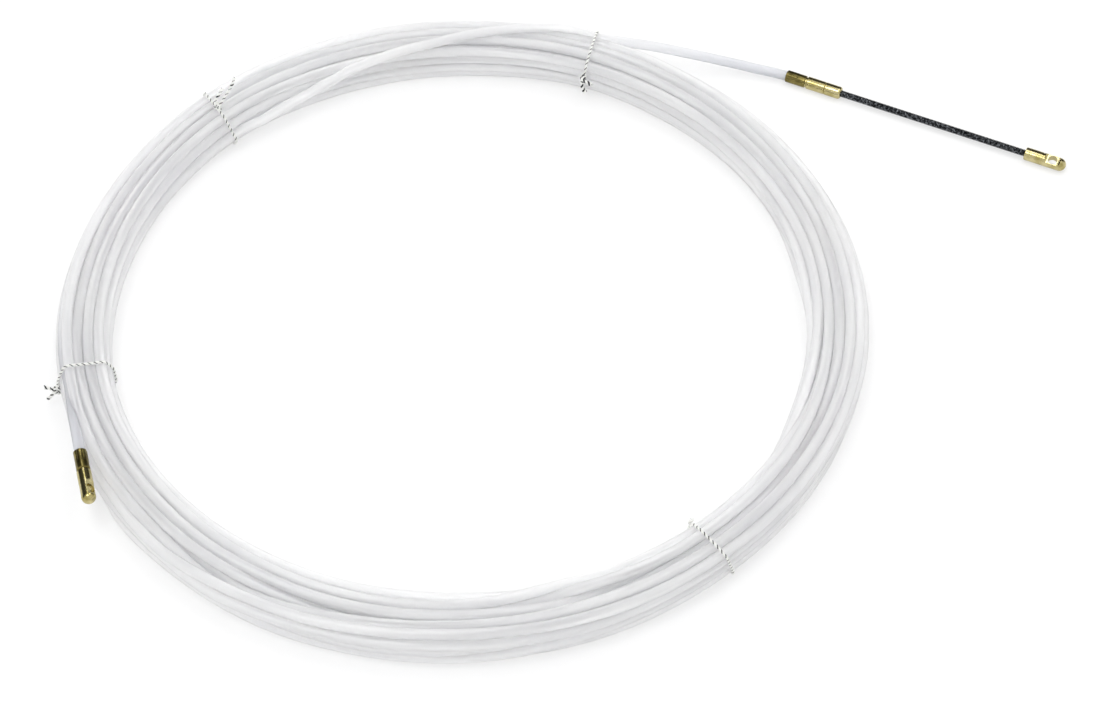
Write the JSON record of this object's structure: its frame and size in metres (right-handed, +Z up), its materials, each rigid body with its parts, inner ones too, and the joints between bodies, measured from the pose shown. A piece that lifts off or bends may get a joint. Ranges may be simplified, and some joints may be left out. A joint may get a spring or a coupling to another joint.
{
  "type": "fish tape",
  "caption": "Coiled nylon fish tape tied with string, with a brass and spring leader at one end and a brass eye at the other.",
  "frame": {"origin": "middle of the coil, on the surface that it lies on", "axes": "+Z up out of the flat coil, +X towards the side where the leader lies, +Y towards the leader's start"},
  "size_m": [0.3954, 0.306, 0.0253],
  "materials": {
    "nylon": "satin",
    "string": "matte",
    "ferrule_brass": "satin",
    "turned_brass": "polished",
    "spring_steel": "satin",
    "cable_steel": "satin"
  },
  "bodies": {
    "coil": {"tape_coil": "nylon", "tape_leader_run": "nylon", "tape_tail_run": "nylon", "tie_top_left": "string", "tie_top_right": "string", "tie_left": "string", "tie_bottom_right": "string", "leader_ferrule": "ferrule_brass", "tail_ferrule": "ferrule_brass"},
    "leader_base": {"leader_connector": "turned_brass", "leader_cup": "turned_brass", "leader_spring_1": "spring_steel", "leader_core_1": "cable_steel"},
    "tail_end": {"tail_eye": "turned_brass"},
    "leader_link_1": {"leader_spring_2": "spring_steel", "leader_core_2": "cable_steel"},
    "leader_link_2": {"leader_spring_3": "spring_steel", "leader_core_3": "cable_steel"},
    "leader_link_3": {"leader_spring_4": "spring_steel", "leader_core_4": "cable_steel"},
    "leader_link_4": {"leader_spring_5": "spring_steel", "leader_core_5": "cable_steel"},
    "leader_link_5": {"leader_spring_6": "spring_steel", "leader_core_6": "cable_steel"},
    "leader_link_6": {"leader_spring_7": "spring_steel", "leader_core_7": "cable_steel"},
    "leader_link_7": {"leader_spring_8": "spring_steel", "leader_core_8": "cable_steel"},
    "leader_link_8": {"leader_spring_9": "spring_steel", "leader_core_9": "cable_steel", "leader_tip": "turned_brass"}
  },
  "joints": [
    {"name": "leader_turn", "type": "hinge", "parent": "coil", "child": "leader_base", "pos_m": [0.1387, 0.12841, 0.00265], "axis": [0.9063, -0.4226, 0], "continuous": true},
    {"name": "tail_turn", "type": "hinge", "parent": "coil", "child": "tail_end", "pos_m": [-0.1336, -0.08041, 0.018], "axis": [0.2588, -0.9659, 0], "continuous": true},
    {"name": "leader_bend_1", "type": "hinge", "parent": "leader_base", "child": "leader_link_1", "pos_m": [0.15724, 0.11977, 0.00265], "axis": [0, 0, 1], "range_deg": [-11.25, 11.25], "stiffness_Nm_per_rad": 0.02},
    {"name": "leader_bend_2", "type": "hinge", "parent": "leader_link_1", "child": "leader_link_2", "pos_m": [0.16621, 0.11558, 0.00265], "axis": [0, 0, 1], "range_deg": [-11.25, 11.25]},
    {"name": "leader_bend_3", "type": "hinge", "parent": "leader_link_2", "child": "leader_link_3", "pos_m": [0.17518, 0.1114, 0.00265], "axis": [0, 0, 1], "range_deg": [-11.25, 11.25]},
    {"name": "leader_bend_4", "type": "hinge", "parent": "leader_link_3", "child": "leader_link_4", "pos_m": [0.18416, 0.10721, 0.00265], "axis": [0, 0, 1], "range_deg": [-11.25, 11.25]},
    {"name": "leader_bend_5", "type": "hinge", "parent": "leader_link_4", "child": "leader_link_5", "pos_m": [0.19313, 0.10303, 0.00265], "axis": [0, 0, 1], "range_deg": [-11.25, 11.25]},
    {"name": "leader_bend_6", "type": "hinge", "parent": "leader_link_5", "child": "leader_link_6", "pos_m": [0.2021, 0.09885, 0.00265], "axis": [0, 0, 1], "range_deg": [-11.25, 11.25]},
    {"name": "leader_bend_7", "type": "hinge", "parent": "leader_link_6", "child": "leader_link_7", "pos_m": [0.21107, 0.09466, 0.00265], "axis": [0, 0, 1], "range_deg": [-11.25, 11.25]},
    {"name": "leader_bend_8", "type": "hinge", "parent": "leader_link_7", "child": "leader_link_8", "pos_m": [0.22004, 0.09048, 0.00265], "axis": [0, 0, 1], "range_deg": [-11.25, 11.25]}
  ],
  "couplings": [
    {"joint": "leader_bend_2", "follows": "leader_bend_1", "ratio": 1},
    {"joint": "leader_bend_3", "follows": "leader_bend_1", "ratio": 1},
    {"joint": "leader_bend_4", "follows": "leader_bend_1", "ratio": 1},
    {"joint": "leader_bend_5", "follows": "leader_bend_1", "ratio": 1},
    {"joint": "leader_bend_6", "follows": "leader_bend_1", "ratio": 1},
    {"joint": "leader_bend_7", "follows": "leader_bend_1", "ratio": 1},
    {"joint": "leader_bend_8", "follows": "leader_bend_1", "ratio": 1}
  ]
}
